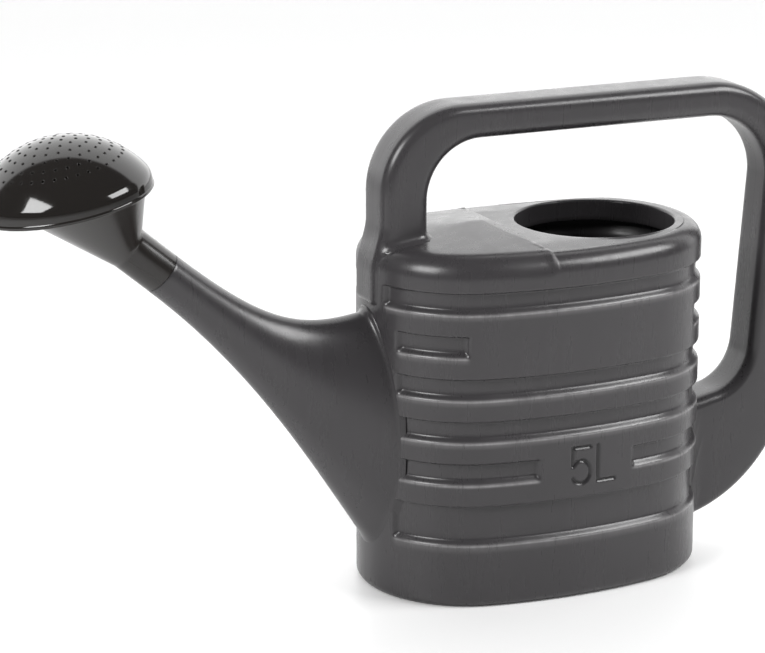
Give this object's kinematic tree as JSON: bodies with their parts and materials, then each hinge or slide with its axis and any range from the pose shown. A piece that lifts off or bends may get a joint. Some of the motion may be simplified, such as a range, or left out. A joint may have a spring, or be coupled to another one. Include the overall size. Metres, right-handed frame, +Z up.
{
  "type": "watering can",
  "caption": "Five litre oval watering can with a grooved tank, closed loop grip, broad tapering spout and a domed push-on sprinkler rose.",
  "frame": {"origin": "middle of the flat base of the tank, on the ground", "axes": "+Z up, -X towards the spout and rose, +X towards the rear leg of the grip, Y across the tank"},
  "size_m": [0.5091, 0.136, 0.2875],
  "materials": {
    "can_plastic": "satin",
    "rose_plastic": "gloss"
  },
  "bodies": {
    "can": {"tank": "can_plastic", "spout": "can_plastic", "grip": "can_plastic"},
    "rose": {"rose_body": "rose_plastic"},
    "face": {"rose_face": "rose_plastic"}
  },
  "joints": [
    {"name": "rose_turn", "type": "hinge", "parent": "can", "child": "rose", "pos_m": [-0.23, 0, 0.2048], "axis": [-0.7604, 0, 0.6494], "continuous": true},
    {"name": "face_pull", "type": "slide", "parent": "rose", "child": "face", "axis": [-0.1736, 0, 0.9848], "range_m": [0, 0.012]}
  ]
}
